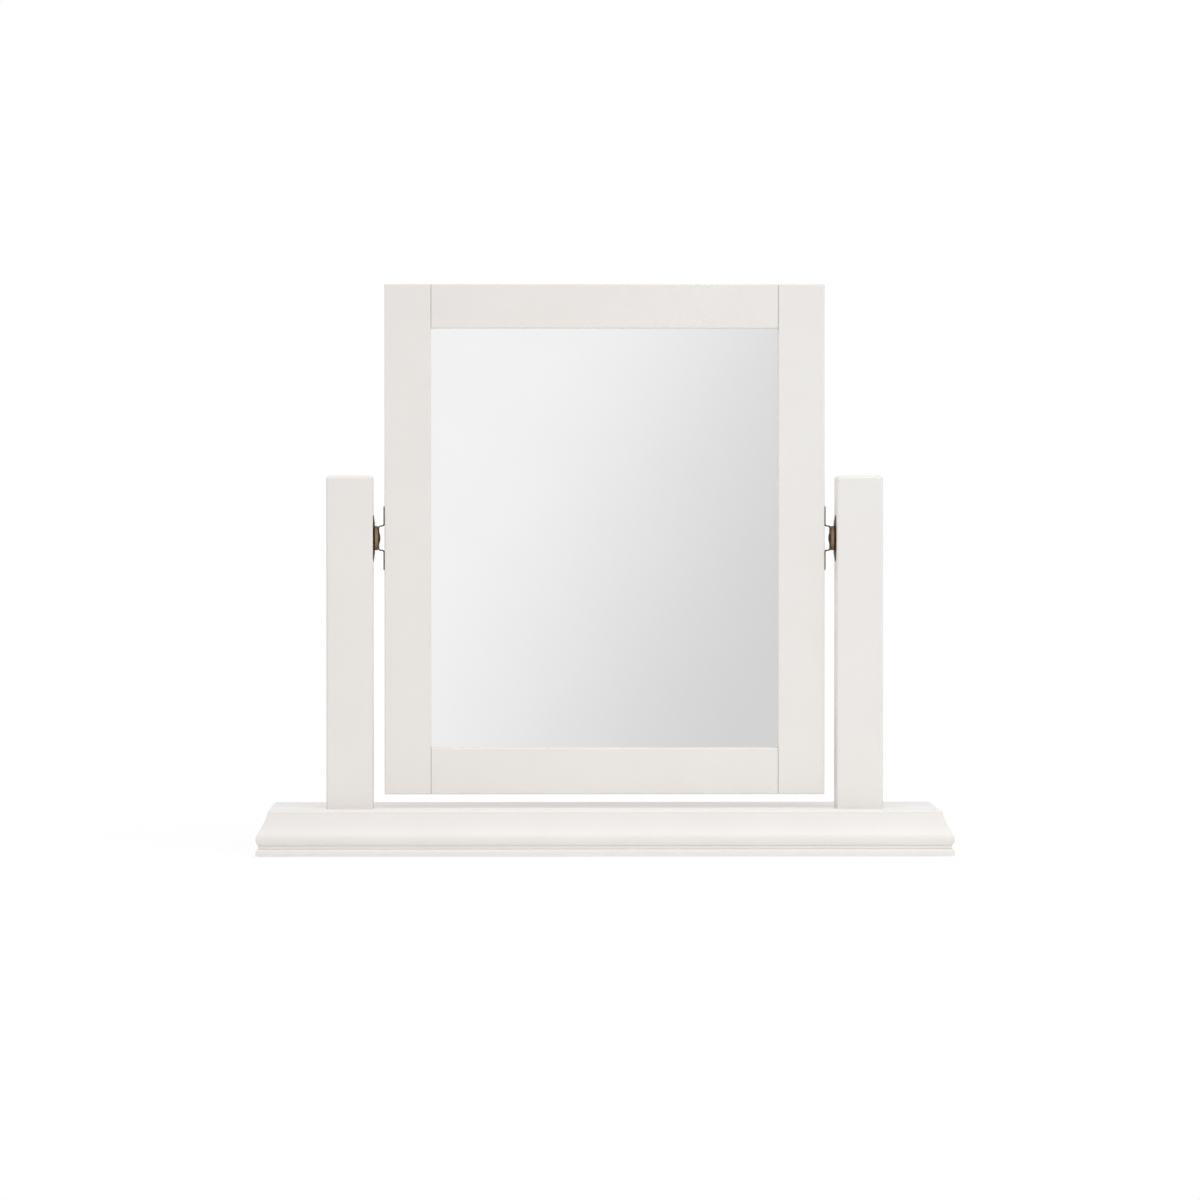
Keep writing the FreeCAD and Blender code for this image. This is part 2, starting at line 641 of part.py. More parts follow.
def frame_dowel_ends():
    """Ends of the four dowels in the right hand joints of the frame."""
    depth = (FRAME_FRONT + GLASS_FRONT) / 2
    heights = [FRAME_TOP - share * TOP_RAIL_WIDTH for share in FRAME_DOWEL_SHARES]
    heights += [FRAME_BOTTOM + share * BOTTOM_RAIL_WIDTH for share in FRAME_DOWEL_SHARES]
    half = Vector(FRAME_DOWEL_LENGTH / 2, 0, 0)
    joints = [Vector(SIGHT_RIGHT, depth, height) for height in heights]
    return [(joint - half, joint + half) for joint in joints]


def frame_dowels():
    """Dowels in the four joints of the frame."""
    return both_sides([dowel(FRAME_DOWEL_RADIUS, start, end) for start, end in frame_dowel_ends()])


def frame_dowel_holes():
    """Rooms for the dowels of the right hand joints."""
    return [dowel_hole(FRAME_DOWEL_RADIUS, start, end) for start, end in frame_dowel_ends()]


def panel_screw_places():
    """Points on the back panel where its screws' heads rest."""
    inset = (PANEL_REBATE - GLASS_REBATE) / 2
    across = SIGHT_RIGHT + GLASS_REBATE + inset
    middle = (SIGHT_BOTTOM + SIGHT_TOP) / 2
    up = (SIGHT_TOP - SIGHT_BOTTOM) / 2 + GLASS_REBATE + inset
    places = [Vector(side * across, PANEL_BACK, middle + share * up)
              for side in (-1, 1) for share in SIDE_PANEL_SCREW_SHARES]
    places += [Vector(share * across, PANEL_BACK, middle + side * up)
               for side in (-1, 1) for share in END_PANEL_SCREW_SHARES]
    return places


def panel_screw_holes():
    """Rooms for the back panel's screws."""
    reach = Vector(0, -PANEL_SCREW_LENGTH - HOLE_END_ROOM, 0)
    over = Vector(0, OVERRUN, 0)
    bore = PANEL_SCREW_RADIUS + FIT_CLEARANCE
    return [rod(bore, place + over, place + reach) for place in panel_screw_places()]


def back_panel_screws():
    """Round-head screws that hold the back panel."""
    sizes = (PANEL_SCREW_RADIUS, PANEL_SCREW_LENGTH, PANEL_SCREW_HEAD, PANEL_SCREW_DOME)
    places = panel_screw_places()
    return Part.makeCompound([aimed(dome_screw(*sizes), place, Vector(0, -1, 0)) for place in places])


def stile():
    """Right stile, full height, with all its arrises rounded and the rebates cut."""
    low = Vector(SIGHT_RIGHT, FRAME_FRONT, FRAME_BOTTOM)
    body = block(low, Vector(FRAME_RIGHT, FRAME_BACK, FRAME_TOP))
    body = eased(body, FRAME_ARRIS, lambda edge: True)
    screws = hinge_screw_holes(strap_screw_places(), Vector(-1, 0, 0))
    return body.cut(frame_rebates() + frame_dowel_holes() + screws + panel_screw_holes())


def rail(bottom, top):
    """Rail between the stiles, with eased ends."""
    low = Vector(-SIGHT_RIGHT, FRAME_FRONT, bottom)
    body = block(low, Vector(SIGHT_RIGHT, FRAME_BACK, top))
    body = eased(body, FRAME_ARRIS, lambda edge: runs_along(edge, Vector(1, 0, 0)))
    body = eased(body, RAIL_END_EASE, lambda edge: edge.BoundBox.XLength < STILE_WIDTH)
    right = frame_dowel_holes()
    holes = right + [left_of(hole) for hole in right]
    return body.cut(frame_rebates() + holes + panel_screw_holes())


def mirror_glass():
    """Silvered glass with bevelled edges."""
    reach = GLASS_REBATE - GLASS_SLACK
    low = Vector(-SIGHT_RIGHT - reach, GLASS_FRONT, SIGHT_BOTTOM - reach)
    sheet = block(low, Vector(SIGHT_RIGHT + reach, GLASS_BACK, SIGHT_TOP + reach))
    return sheet.makeChamfer(GLASS_EDGE_BEVEL, sheet.Edges)


def back_panel():
    """Thin panel that closes the back and holds the glass."""
    reach = PANEL_REBATE - PANEL_SLACK
    low = Vector(-SIGHT_RIGHT - reach, PANEL_FRONT, SIGHT_BOTTOM - reach)
    sheet = block(low, Vector(SIGHT_RIGHT + reach, PANEL_BACK, SIGHT_TOP + reach))
    return eased(sheet, PANEL_EDGE_EASE, lambda edge: True).cut(panel_screw_holes())


paired = {
    "moulding": side_moulding(),
    "post": post(),
    "post_plate": post_plate(),
    "friction_disc": friction_disc(),
    "spring_washer": spring_washer(),
    "pivot_rivet": pivot_rivet(),
    "frame_strap": frame_strap(),
    "stile": stile(),
}
nodes = {
    "felt_pads": felt_pads(),
    "base_plate": base_plate(),
    "base_plate_screws": base_plate_screws(),
    "front_moulding": front_moulding(),
    "back_rail": back_rail(),
    "corner_blocks": corner_blocks(),
    "top_board": top_board(),
    "post_dowels": post_dowels(),
    "post_screws": post_screws(),
    "post_plate_screws": hinge_screws(post_plate_screw_places(), Vector(1, 0, 0)),
    "strap_screws": hinge_screws(strap_screw_places(), Vector(-1, 0, 0)),
    "top_rail": rail(SIGHT_TOP, FRAME_TOP),
    "bottom_rail": rail(FRAME_BOTTOM, SIGHT_BOTTOM),
    "frame_dowels": frame_dowels(),
    "mirror_glass": mirror_glass(),
    "back_panel": back_panel(),
    "back_panel_screws": back_panel_screws(),
}
for name, shape in paired.items():
    nodes["right_" + name] = shape
    nodes["left_" + name] = left_of(shape)

os.makedirs("parts", exist_ok=True)
for name, shape in nodes.items():
    shape.exportStep("parts/" + name + ".step")
    print(name, len(shape.Solids), "solids", round(shape.Volume), "mm3", "valid" if shape.isValid() else "NOT VALID")
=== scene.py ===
"""Looks of a free-standing dressing-table mirror in painted wood, set on a plain white stage."""

import bpy
import numpy as np
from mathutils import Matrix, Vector


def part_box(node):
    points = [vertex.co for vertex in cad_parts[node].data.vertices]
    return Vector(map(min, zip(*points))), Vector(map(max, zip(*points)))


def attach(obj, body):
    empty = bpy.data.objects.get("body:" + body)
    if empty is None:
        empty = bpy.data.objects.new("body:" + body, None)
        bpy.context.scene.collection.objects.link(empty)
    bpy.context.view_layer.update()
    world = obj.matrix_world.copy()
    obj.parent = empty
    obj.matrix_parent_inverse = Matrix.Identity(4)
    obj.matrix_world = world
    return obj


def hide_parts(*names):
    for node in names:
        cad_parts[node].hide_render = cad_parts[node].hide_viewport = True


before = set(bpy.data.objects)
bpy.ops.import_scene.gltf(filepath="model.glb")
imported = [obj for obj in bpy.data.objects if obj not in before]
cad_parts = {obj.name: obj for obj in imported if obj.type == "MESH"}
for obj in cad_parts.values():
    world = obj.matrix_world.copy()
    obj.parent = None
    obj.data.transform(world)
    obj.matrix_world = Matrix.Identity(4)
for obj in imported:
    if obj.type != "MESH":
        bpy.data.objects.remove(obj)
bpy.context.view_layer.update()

bl_info = {
    "name": "Table mirror looks",
    "version": (1, 0, 0),
    "blender": (4, 5, 0),
    "location": "View3D > Sidebar > Table mirror",
    "description": "Dresses the table mirror's pieces and sets up its stage",
    "category": "Object",
}

MM = 0.001
WHITE = (1, 1, 1, 1)

# Node settings that come up again and again, and the place of the colour among a Mix node's outputs.
BLEND = {"data_type": "RGBA"}
MULTIPLY = {"data_type": "RGBA", "blend_type": "MULTIPLY"}
SMOOTH = {"interpolation_type": "SMOOTHSTEP"}
MIXED = 2

# The painted wood: how many times longer than wide its grain is, the range of the coat's roughness, and the
# share of the darker joint tone at a rail's very end.
LACQUER_STRETCH = 45
LACQUER_ROUGHNESS = (0.21, 0.29)
JOINT_TONE_SHARE = 0.6

# The bare wood: how many times longer than wide its rings are, and their width in pine and in beech.
TIMBER_STRETCH = 30
PINE_RING = 2.5 * MM
BEECH_RING = 0.8 * MM

# The felt pads: the powers that square a pad's section off sideways and upwards, and the waves round its rim.
PAD_SIDE_POWER = 0.22
PAD_RISE_POWER = 0.6
PAD_WAVES = (3, 7, 16)

# The camera's sensor in millimetres and its reach in metres, the point that the lamps face, and each lamp's
# place and width in metres.
SENSOR_WIDTH = 36
CAMERA_REACH = 100
LAMP_AIM = (0, 0, 0.25)
TOP_LIGHT = ((0.1, -0.9, 3.5), 3.0)
SIDE_LIGHT = ((0.8, -1.0, 0.6), 0.5)
REAR_LIGHT = ((-0.6, 3.0, 1.2), 2.0)

# The light from all round: the direction that it leans to, the span over which it changes, and its strength
# at the weak end and the strong end. In reflections, the heights between which it dims, and its last tone.
TENT_LEAN = (0.12, -0.69, 0)
TENT_SPAN = (-0.7, 0.7)
TENT_STRENGTH = (0.35, 1.52)
SKY_FALL = (0.05, 0.9)
SKY_TONE = 0.55

# The floor, in metres: its half width, the ring in which the object's shadow fades, the shadow's share of the
# white inside it and the lift that brings that share to white where it is lit, and the radii at which a grey
# ring, seen only in reflections, begins, is full, begins to fade and ends.
FLOOR_REACH = 6.0
SHADOW_RING = (0.5, 1.6)
SHADOW_SHARE = 0.2
FLOOR_LIFT = 1.1
GREY_RING = (0.3, 1.5, 2.0, 4.5)

# The graded card, in metres: its place before the mirror, where its sides, top and foot fade, how much its
# grade leans, and where the grade begins and ends.
CARD_PLACE = -0.7
CARD_SIDE = (0.22, 0.5)
CARD_TOP = (0.52, 0.85)
CARD_FOOT = 0.06
CARD_SLOPE = 0.46
CARD_GRADE = (-0.2926, 0.1456)


def linear(hex_colour):
    """Linear RGBA of an sRGB hex value such as #ECE9E5."""
    parts = np.array([int(hex_colour[i:i + 2], 16) for i in (1, 3, 5)]) / 255
    parts = np.where(parts <= 0.04045, parts / 12.92, ((parts + 0.055) / 1.055) ** 2.4)
    return (*parts.tolist(), 1.0)


def add(tree, kind, settings=None, **inputs):
    """Adds a node, sets its own settings, and gives each input socket a value or a link.

    An input is named by its socket identifier with its spaces left out.
    """
    node = tree.nodes.new(kind)
    for name, value in (settings or {}).items():
        setattr(node, name, value)
    sockets = {socket.identifier.replace(" ", ""): socket for socket in node.inputs}
    for name, value in inputs.items():
        if isinstance(value, bpy.types.NodeSocket):
            tree.links.new(value, sockets[name])
        else:
            sockets[name].default_value = value
    return node


def colour_property(label, text, hex_colour):
    """A colour that a user would change, held as linear RGBA."""
    return bpy.props.FloatVectorProperty(
        name=label, description=text, default=linear(hex_colour),
        size=4, min=0, max=1, subtype="COLOR")


def length_property(label, text, millimetres):
    """A length that a user would change, held in metres."""
    return bpy.props.FloatProperty(
        name=label, description=text, default=millimetres * MM, min=0, unit="LENGTH")


def new_material(name):
    """An empty node material and its tree."""
    material = bpy.data.materials.new(name)
    material.use_nodes = True
    material.node_tree.nodes.clear()
    return material, material.node_tree


def dress(material, *nodes):
    """Puts one material on every slot of the named frame nodes."""
    for name in nodes:
        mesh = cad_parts[name].data
        mesh.materials.clear()
        mesh.materials.append(material)


class PaintSettings(bpy.types.PropertyGroup):
    """Satin lacquer on the wood."""
    colour: colour_property("Lacquer", "Off-white of the lacquer", "#F0EBE8")
    thin: colour_property("Thin lacquer", "Warmer off-white where the coat is thinner", "#ECE6E3")
    peel: length_property("Orange peel", "Size of the spray's ripples", 2.2)
    grain: length_property("Grain width", "Width of the wood grain that shows through the coat", 1.6)
    mottle: length_property("Mottle", "Size of the faint tone changes", 70)
    # The joint line below is a darker tone drawn over the last stretch at each end of a rail.
    seam: colour_property("Joint line", "Dust in the joints at a rail's ends", "#9A938D")
    seam_width: length_property("Joint line width", "How far the dust reaches along a rail", 0.8)


class MetalSettings(bpy.types.PropertyGroup):
    """Hinges and screws."""
    bronze: colour_property("Bronze", "Antique bronze plating", "#5F4E3B")
    bronze_dark: colour_property("Dark bronze", "Patina in the plating", "#40352A")
    bronze_rubbed: colour_property("Rubbed bronze", "Plating where it is rubbed", "#806C4E")
    zinc: colour_property("Zinc", "Bright zinc plating", "#C9CBCB")
    zinc_dull: colour_property("Dull zinc", "Clouded zinc plating", "#A9ABA8")
    spring: colour_property("Spring steel", "Oiled spring steel", "#5B5E63")
    fibre: colour_property("Fibre", "Brown vulcanised fibre", "#AF9175")
    fibre_dark: colour_property("Dark fibre", "Specks in the fibre", "#846B54")


class WoodSettings(bpy.types.PropertyGroup):
    """Unpainted wood, board and felt."""
    pine: colour_property("Pine", "Raw pine", "#D9BC8C")
    pine_dark: colour_property("Pine rings", "Late wood of the pine", "#B68D58")
    beech: colour_property("Beech", "Beech dowels", "#D2AC85")
    beech_dark: colour_property("Beech flecks", "Flecks in the beech", "#A97F5B")
    board: colour_property("Hardboard", "Pressed fibre of the back panel", "#7F6246")
    board_dark: colour_property("Dark fibres", "Dark fibres of the back panel", "#563F2B")
    board_light: colour_property("Pale fibres", "Pale fibres of the back panel", "#A38666")
    felt: colour_property("Felt", "Pressed felt of the pads", "#E4E1DC")
    felt_dark: colour_property("Dark felt", "Dark fibres in the felt", "#C9C5BE")
    pad_radius: length_property("Pad radius", "Radius of a felt pad", 10)
    pad_fray: length_property("Pad fray", "How far the rim of a felt pad wanders", 0.2)


class GlassSettings(bpy.types.PropertyGroup):
    """Silvered glass."""
    silver: colour_property("Silver", "Silver seen through the glass", "#FDFDFD")
    haze: colour_property("Haze", "Faint tone of the glass's film of dust", "#F9F9F9")


class StageSettings(bpy.types.PropertyGroup):
    """Camera, lights, floor and the graded card that the mirror faces."""
    eye: bpy.props.FloatVectorProperty(
        name="Camera place", description="Where the camera stands",
        default=(-0.090, -5.023, 0.2956), size=3, subtype="TRANSLATION")
    aim: bpy.props.FloatVectorProperty(
        name="Camera aim", description="The point that the camera looks at",
        default=(-0.0039, -0.023, 0.2197), size=3, subtype="TRANSLATION")
    lens: bpy.props.FloatProperty(
        name="Lens", description="Focal length", default=173.4, unit="CAMERA")
    top_power: bpy.props.FloatProperty(
        name="Top light", description="Power of the wide light overhead", default=32, unit="POWER")
    side_power: bpy.props.FloatProperty(
        name="Side light", description="Power of the light at the front right", default=2.0, unit="POWER")
    rear_power: bpy.props.FloatProperty(
        name="Rear light", description="Power of the wide light low behind", default=14, unit="POWER")
    side_colour: colour_property("Side light colour", "Cool tint of the light at the front right", "#E8FDFF")
    horizon: colour_property("Horizon", "Light from all round, low down", "#999999")
    zenith: colour_property("Zenith", "Light from all round, overhead", "#F4F4F4")
    floor: colour_property("Floor", "Floor colour", "#F9F8F6")
    ring: bpy.props.FloatProperty(
        name="Floor in reflections", description="Tone of the floor's grey ring in reflections",
        default=0.7, min=0, max=1, subtype="FACTOR")
    card_light: colour_property("Card, light end", "Upper left of the graded card", "#F6F6F6")
    card_dark: colour_property("Card, dark end", "Lower right of the graded card", "#D6D6D6")


SETTINGS = {
    "mirror_paint": PaintSettings,
    "mirror_metal": MetalSettings,
    "mirror_wood": WoodSettings,
    "mirror_glass": GlassSettings,
    "mirror_stage": StageSettings,
}


def satin_lacquer(name, grain_axis, look, rail_end=None):
    """Sprayed satin lacquer: a soft sheen, fine orange peel, and a faint grain along the board.

    grain_axis is the board's long direction, 0, 1 or 2 for X, Y or Z. rail_end is how far a rail's ends lie
    from the middle; the last stretch before each end is drawn in a darker tone, as the joint line.
    """
    material, tree = new_material(name)
    place = add(tree, "ShaderNodeTexCoord").outputs["Object"]
    along = [1 / look.grain] * 3
    along[grain_axis] = 1 / (look.grain * LACQUER_STRETCH)
    grained = add(tree, "ShaderNodeMapping", Vector=place, Scale=along).outputs["Vector"]
    grain = add(tree, "ShaderNodeTexNoise", Vector=grained, Scale=1, Detail=3, Roughness=0.55).outputs["Fac"]
    peel = add(tree, "ShaderNodeTexNoise", Vector=place, Scale=1 / look.peel, Detail=1).outputs["Fac"]
    mottle = add(tree, "ShaderNodeTexNoise", Vector=place, Scale=1 / look.mottle, Detail=3).outputs["Fac"]
    patch = add(tree, "ShaderNodeMapRange", Value=mottle, FromMin=0.35, FromMax=0.75, ToMin=0, ToMax=0.6)
    tone = add(tree, "ShaderNodeMix", BLEND, Factor_Float=patch.outputs["Result"],
               A_Color=look.colour, B_Color=look.thin).outputs[MIXED]
    # Darker tone drawn over the last stretch of the rail at each end, as the joint line with the stile.
    if rail_end:
        aside = add(tree, "ShaderNodeSeparateXYZ", Vector=place).outputs["X"]
        aside = add(tree, "ShaderNodeMath", {"operation": "ABSOLUTE"}, Value=aside).outputs["Value"]
        dust = add(tree, "ShaderNodeMapRange", Value=aside, FromMin=rail_end - look.seam_width,
                   FromMax=rail_end, ToMax=JOINT_TONE_SHARE).outputs["Result"]
        tone = add(tree, "ShaderNodeMix", BLEND, Factor_Float=dust,
                   A_Color=tone, B_Color=look.seam).outputs[MIXED]
    smoothest, roughest = LACQUER_ROUGHNESS
    sheen = add(tree, "ShaderNodeMapRange", Value=grain, ToMin=smoothest, ToMax=roughest).outputs["Result"]
    ripple = add(tree, "ShaderNodeBump", Strength=0.2, Distance=0.02 * MM, Height=peel).outputs["Normal"]
    raised = add(tree, "ShaderNodeBump", Strength=0.12, Distance=0.05 * MM, Height=grain, Normal=ripple)
    shader = add(tree, "ShaderNodeBsdfPrincipled", BaseColor=tone, Roughness=sheen, IOR=1.5,
                 Normal=raised.outputs["Normal"])
    add(tree, "ShaderNodeOutputMaterial", Surface=shader.outputs["BSDF"])
    return material


def antique_bronze(look):
    """Steel plated in antique bronze: a dull brown sheen, darker in patches, paler where it is rubbed."""
    material, tree = new_material("antique_bronzed_steel")
    place = add(tree, "ShaderNodeTexCoord").outputs["Object"]
    patina = add(tree, "ShaderNodeTexNoise", Vector=place, Scale=1 / (3 * MM), Detail=4, Roughness=0.6)
    rub = add(tree, "ShaderNodeTexNoise", Vector=place, Scale=1 / (0.7 * MM), Detail=3).outputs["Fac"]
    dark = add(tree, "ShaderNodeMapRange", Value=patina.outputs["Fac"], FromMin=0.38, FromMax=0.68)
    tone = add(tree, "ShaderNodeMix", BLEND, Factor_Float=dark.outputs["Result"],
               A_Color=look.bronze, B_Color=look.bronze_dark).outputs[MIXED]
    bright = add(tree, "ShaderNodeMapRange", Value=rub, FromMin=0.52, FromMax=0.75, ToMax=0.7)
    tone = add(tree, "ShaderNodeMix", BLEND, Factor_Float=bright.outputs["Result"],
               A_Color=tone, B_Color=look.bronze_rubbed).outputs[MIXED]
    rough = add(tree, "ShaderNodeMapRange", Value=patina.outputs["Fac"], ToMin=0.3, ToMax=0.55)
    grit = add(tree, "ShaderNodeBump", Strength=0.3, Distance=0.02 * MM, Height=rub).outputs["Normal"]
    shader = add(tree, "ShaderNodeBsdfPrincipled", BaseColor=tone, Metallic=0.85,
                 Roughness=rough.outputs["Result"], Normal=grit)
    add(tree, "ShaderNodeOutputMaterial", Surface=shader.outputs["BSDF"])
    return material


def clouded_steel(name, clear, cloudy, roughness):
    """Plated or oiled steel: a grey shine with duller, clouded patches."""
    material, tree = new_material(name)
    place = add(tree, "ShaderNodeTexCoord").outputs["Object"]
    cloud = add(tree, "ShaderNodeTexNoise", Vector=place, Scale=1 / (2 * MM), Detail=4).outputs["Fac"]
    tone = add(tree, "ShaderNodeMix", BLEND, Factor_Float=cloud,
               A_Color=clear, B_Color=cloudy).outputs[MIXED]
    rough = add(tree, "ShaderNodeMapRange", Value=cloud, ToMin=roughness * 0.7, ToMax=roughness * 1.4)
    shader = add(tree, "ShaderNodeBsdfPrincipled", BaseColor=tone, Metallic=1,
                 Roughness=rough.outputs["Result"])
    add(tree, "ShaderNodeOutputMaterial", Surface=shader.outputs["BSDF"])
    return material


def vulcanised_fibre(look):
    """Pressed brown fibre: matt, with short darker specks."""
    material, tree = new_material("vulcanised_fibre")
    place = add(tree, "ShaderNodeTexCoord").outputs["Object"]
    speck = add(tree, "ShaderNodeTexNoise", Vector=place, Scale=1 / (0.6 * MM), Detail=4, Roughness=0.7)
    tone = add(tree, "ShaderNodeMix", BLEND, Factor_Float=speck.outputs["Fac"],
               A_Color=look.fibre, B_Color=look.fibre_dark).outputs[MIXED]
    nap = add(tree, "ShaderNodeBump", Strength=0.4, Distance=0.04 * MM, Height=speck.outputs["Fac"])
    shader = add(tree, "ShaderNodeBsdfPrincipled", BaseColor=tone, Roughness=0.62,
                 Normal=nap.outputs["Normal"])
    add(tree, "ShaderNodeOutputMaterial", Surface=shader.outputs["BSDF"])
    return material


def plain_timber(name, grain_axis, early, late, ring):
    """Planed bare wood: pale early wood with darker rings drawn out along the grain."""
    material, tree = new_material(name)
    place = add(tree, "ShaderNodeTexCoord").outputs["Object"]
    along = [1 / ring] * 3
    along[grain_axis] = 1 / (ring * TIMBER_STRETCH)
    grained = add(tree, "ShaderNodeMapping", Vector=place, Scale=along).outputs["Vector"]
    rings = add(tree, "ShaderNodeTexNoise", Vector=grained, Scale=1, Detail=5, Roughness=0.6).outputs["Fac"]
    late_wood = add(tree, "ShaderNodeMapRange", Value=rings, FromMin=0.42, FromMax=0.66).outputs["Result"]
    tone = add(tree, "ShaderNodeMix", BLEND, Factor_Float=late_wood,
               A_Color=early, B_Color=late).outputs[MIXED]
    ridge = add(tree, "ShaderNodeBump", Strength=0.4, Distance=0.08 * MM, Height=rings).outputs["Normal"]
    shader = add(tree, "ShaderNodeBsdfPrincipled", BaseColor=tone, Roughness=0.6, Normal=ridge)
    add(tree, "ShaderNodeOutputMaterial", Surface=shader.outputs["BSDF"])
    return material


def hardboard(look):
    """Pressed wood fibre board: brown, with fine pale and dark fibres and a slight press gloss."""
    material, tree = new_material("hardboard")
    place = add(tree, "ShaderNodeTexCoord").outputs["Object"]
    cloud = add(tree, "ShaderNodeTexNoise", Vector=place, Scale=1 / (45 * MM), Detail=4).outputs["Fac"]
    warp = add(tree, "ShaderNodeTexNoise", Vector=place, Scale=1 / (5 * MM), Detail=2).outputs["Color"]
    bent = add(tree, "ShaderNodeVectorMath", {"operation": "MULTIPLY_ADD"}, Vector=warp,
               Vector_001=(6 * MM,) * 3, Vector_002=place).outputs["Vector"]
    fibre = add(tree, "ShaderNodeTexNoise", Vector=bent, Scale=1 / (1.1 * MM), Detail=5, Roughness=0.7)
    dark = add(tree, "ShaderNodeMapRange", Value=fibre.outputs["Fac"], FromMin=0.5, FromMax=0.72)
    tone = add(tree, "ShaderNodeMix", BLEND, Factor_Float=dark.outputs["Result"],
               A_Color=look.board, B_Color=look.board_dark).outputs[MIXED]
    pale = add(tree, "ShaderNodeMapRange", Value=fibre.outputs["Fac"], FromMin=0.48, FromMax=0.3, ToMax=0.6)
    tone = add(tree, "ShaderNodeMix", BLEND, Factor_Float=pale.outputs["Result"],
               A_Color=tone, B_Color=look.board_light).outputs[MIXED]
    shade = add(tree, "ShaderNodeMapRange", Value=cloud, ToMin=0.88, ToMax=1.1).outputs["Result"]
    tone = add(tree, "ShaderNodeMix", MULTIPLY, Factor_Float=1.0,
               A_Color=tone, B_Color=shade).outputs[MIXED]
    rough = add(tree, "ShaderNodeMapRange", Value=fibre.outputs["Fac"], ToMin=0.45, ToMax=0.7)
    nap = add(tree, "ShaderNodeBump", Strength=0.35, Distance=0.06 * MM, Height=fibre.outputs["Fac"])
    shader = add(tree, "ShaderNodeBsdfPrincipled", BaseColor=tone, Roughness=rough.outputs["Result"],
                 Normal=nap.outputs["Normal"])
    add(tree, "ShaderNodeOutputMaterial", Surface=shader.outputs["BSDF"])
    return material


def pressed_felt(look):
    """Pressed felt: matt, hairy and slightly uneven in tone."""
    material, tree = new_material("pressed_felt")
    place = add(tree, "ShaderNodeTexCoord").outputs["Object"]
    hair = add(tree, "ShaderNodeTexNoise", Vector=place, Scale=1 / (0.5 * MM), Detail=5, Roughness=0.75,
               Distortion=1.5)
    tone = add(tree, "ShaderNodeMix", BLEND, Factor_Float=hair.outputs["Fac"],
               A_Color=look.felt, B_Color=look.felt_dark).outputs[MIXED]
    nap = add(tree, "ShaderNodeBump", Strength=0.9, Distance=0.25 * MM, Height=hair.outputs["Fac"])
    shader = add(tree, "ShaderNodeBsdfPrincipled", BaseColor=tone, Roughness=0.95, SheenWeight=0.3,
                 Normal=nap.outputs["Normal"])
    add(tree, "ShaderNodeOutputMaterial", Surface=shader.outputs["BSDF"])
    return material


def silvered_glass(look):
    """Float glass silvered behind: a clear reflection under a faint, uneven film."""
    material, tree = new_material("silvered_glass")
    place = add(tree, "ShaderNodeTexCoord").outputs["Object"]
    film = add(tree, "ShaderNodeTexNoise", Vector=place, Scale=1 / (60 * MM), Detail=4).outputs["Fac"]
    tone = add(tree, "ShaderNodeMix", BLEND, Factor_Float=film,
               A_Color=look.silver, B_Color=look.haze).outputs[MIXED]
    rough = add(tree, "ShaderNodeMapRange", Value=film, ToMin=0.0, ToMax=0.03).outputs["Result"]
    shader = add(tree, "ShaderNodeBsdfPrincipled", BaseColor=tone, Metallic=1, Roughness=rough)
    add(tree, "ShaderNodeOutputMaterial", Surface=shader.outputs["BSDF"])
    return material


def felt_pads_mesh(radius, fray, around=120, across=14):
    """Four pressed felt discs, one surface each over two parameters: the turn and the slope of the section.

    The section is a squashed round: its radius is the pad's times the slope's cosine to a small power, and
    its height is half the thickness times one plus the slope's sine, drawn towards its ends. The rim wanders
    by a sum of three sines of the turn, which differs from pad to pad. The last turn joins the first, and one
    point closes each pole.
    """
    low, high = (np.array(corner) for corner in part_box("felt_pads"))
    turn = np.linspace(0, 2 * np.pi, around, endpoint=False)[:, None]
    slope = np.linspace(-np.pi / 2, np.pi / 2, across + 2)[1:-1]
    reach = np.cos(slope) ** PAD_SIDE_POWER
    rise = (1 + np.sign(np.sin(slope)) * np.abs(np.sin(slope)) ** PAD_RISE_POWER) / 2
    points, faces = [], []
    corners = [(x, y) for x in (low[0] + radius, high[0] - radius)
               for y in (low[1] + radius, high[1] - radius)]
    for pad, (x, y) in enumerate(corners):
        wander = sum(np.sin(waves * turn + waves * pad) for waves in PAD_WAVES) / len(PAD_WAVES) - 1
        rim = (radius + fray / 2 * wander) * reach
        grid = np.stack([x + rim * np.cos(turn), y + rim * np.sin(turn),
                         low[2] + (high[2] - low[2]) * np.broadcast_to(rise, rim.shape)], axis=-1)
        first = pad * (around * across + 2)
        index = first + np.arange(around * across).reshape(around, across)
        ahead = np.roll(index, -1, axis=0)
        sides = np.stack([index[:, :-1], ahead[:, :-1], ahead[:, 1:], index[:, 1:]], axis=-1)
        below, above = first + around * across, first + around * across + 1
        bottom = np.stack([np.full(around, below), ahead[:, 0], index[:, 0]], axis=-1)
        top = np.stack([np.full(around, above), index[:, -1], ahead[:, -1]], axis=-1)
        points += grid.reshape(-1, 3).tolist() + [(x, y, low[2]), (x, y, high[2])]
        faces += sides.reshape(-1, 4).tolist() + bottom.tolist() + top.tolist()
    mesh = bpy.data.meshes.new("pressed_felt_pads")
    mesh.from_pydata(points, [], faces)
    mesh.shade_smooth()
    return mesh


class MakeFeltPads(bpy.types.Operator):
    """Makes the four soft pads that the base stands on"""
    bl_idname = "table_mirror.felt_pads"
    bl_label = "Felt pads"

    def execute(self, context):
        look = context.scene.mirror_wood
        mesh = felt_pads_mesh(look.pad_radius, look.pad_fray)
        mesh.materials.append(pressed_felt(look))
        pads = bpy.data.objects.new("pressed_felt_pads", mesh)
        context.scene.collection.objects.link(pads)
        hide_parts("felt_pads")
        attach(pads, "stand")
        return {"FINISHED"}


